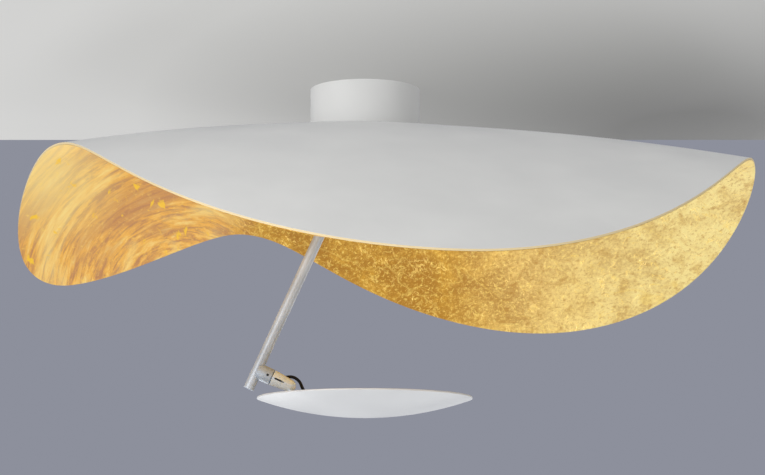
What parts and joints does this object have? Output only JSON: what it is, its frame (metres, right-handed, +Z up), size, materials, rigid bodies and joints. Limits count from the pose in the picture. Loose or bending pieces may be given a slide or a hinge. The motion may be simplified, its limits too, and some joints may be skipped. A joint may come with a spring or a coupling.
{
  "type": "ceiling light",
  "caption": "Ceiling light with a waved sheet shade, white above and gold leaf below, and a dish of LED light on a slanted stem with a ball joint that throws its light up.",
  "frame": {"origin": "centre of the canopy's contact plane with the ceiling", "axes": "+Z up into the ceiling, +X to the right and +Y away from someone who faces the near lobe of the shade; the light hangs below the origin"},
  "size_m": [0.9942, 1.1274, 0.4405],
  "materials": {
    "zinc_steel": "zinc-plated steel",
    "satin_steel": "satin-brushed stainless steel",
    "satin_aluminium": "bead-blasted, matte",
    "black_steel": "black oxide",
    "chrome": "polished nickel plate",
    "brass": "plain",
    "white_paint": "matte white powder coat",
    "shade_white": "matte white lacquer on sheet aluminium",
    "gold_leaf": "leaf, brushed and crackled",
    "dish_white": "satin white lacquer",
    "cast_aluminium": "die cast",
    "board_white": "white solder mask",
    "emitter": "phosphor yellow",
    "opal": "opal, light-spreading",
    "white_plastic": "moulded",
    "clear_plastic": "translucent natural nylon",
    "black_plastic": "moulded",
    "black_rubber": "smooth"
  },
  "bodies": {
    "ceiling": {"ceiling_bracket": "zinc_steel", "canopy_cup": "white_paint", "canopy_screws": "zinc_steel", "cable_clamp": "black_plastic", "clamp_screws": "zinc_steel", "earth_washer": "brass", "earth_screw": "brass", "led_driver": "white_plastic", "driver_screws": "zinc_steel", "terminal_block": "clear_plastic", "terminal_screws": "brass", "terminal_block_screws": "zinc_steel", "mains_leads": "black_rubber", "driver_lead": "black_rubber", "shade_shell": "shade_white", "shade_lining": "gold_leaf", "shade_gasket": "black_rubber", "hub_bush": "zinc_steel", "hub_lock_nut": "zinc_steel", "swivel_washer": "white_plastic"},
    "stem": {"stem_knuckle": "satin_steel", "stem_grub_screws": "black_steel", "spindle_spring": "zinc_steel", "spindle_nut": "zinc_steel", "stem_tube": "satin_steel", "stem_end_plug": "black_plastic", "side_block": "satin_aluminium", "block_set_screw": "black_steel", "stem_wires": "black_rubber"},
    "socket": {"ball_socket": "chrome", "socket_ring": "chrome", "ball_seat_cup": "brass", "disc_springs": "zinc_steel", "socket_wires": "black_rubber", "lead_insert": "black_plastic", "lead_grommet": "black_rubber", "jumper_lead": "black_rubber"},
    "dish": {"ball_stud": "chrome", "stud_stiffener": "zinc_steel", "stud_washer": "zinc_steel", "stud_nut": "zinc_steel", "dish_shell": "dish_white", "dish_top_plate": "dish_white", "dish_screws": "zinc_steel", "heat_sink": "cast_aluminium", "sink_screws": "zinc_steel", "led_board": "board_white", "led_emitters": "emitter", "reflector_ring": "white_plastic", "diffuser": "opal", "diffuser_gasket": "black_rubber", "diffuser_retainer": "zinc_steel", "lead_gland": "black_plastic", "led_wires": "black_rubber"}
  },
  "joints": [
    {"name": "stem_swivel", "type": "hinge", "parent": "ceiling", "child": "stem", "pos_m": [0, 0, -0.0653], "axis": [0, 0, 1], "range_deg": [-175, 175]},
    {"name": "socket_swivel", "type": "hinge", "parent": "stem", "child": "socket", "pos_m": [-0.12817, 0, -0.38547], "axis": [0.91, 0, -0.4147], "range_deg": [-90, 90]},
    {"name": "disc_tilt", "type": "hinge", "parent": "socket", "child": "dish", "pos_m": [-0.09796, 0, -0.39924], "axis": [0, 1, 0], "range_deg": [-40, 6], "deforming": ["jumper_lead"]}
  ]
}
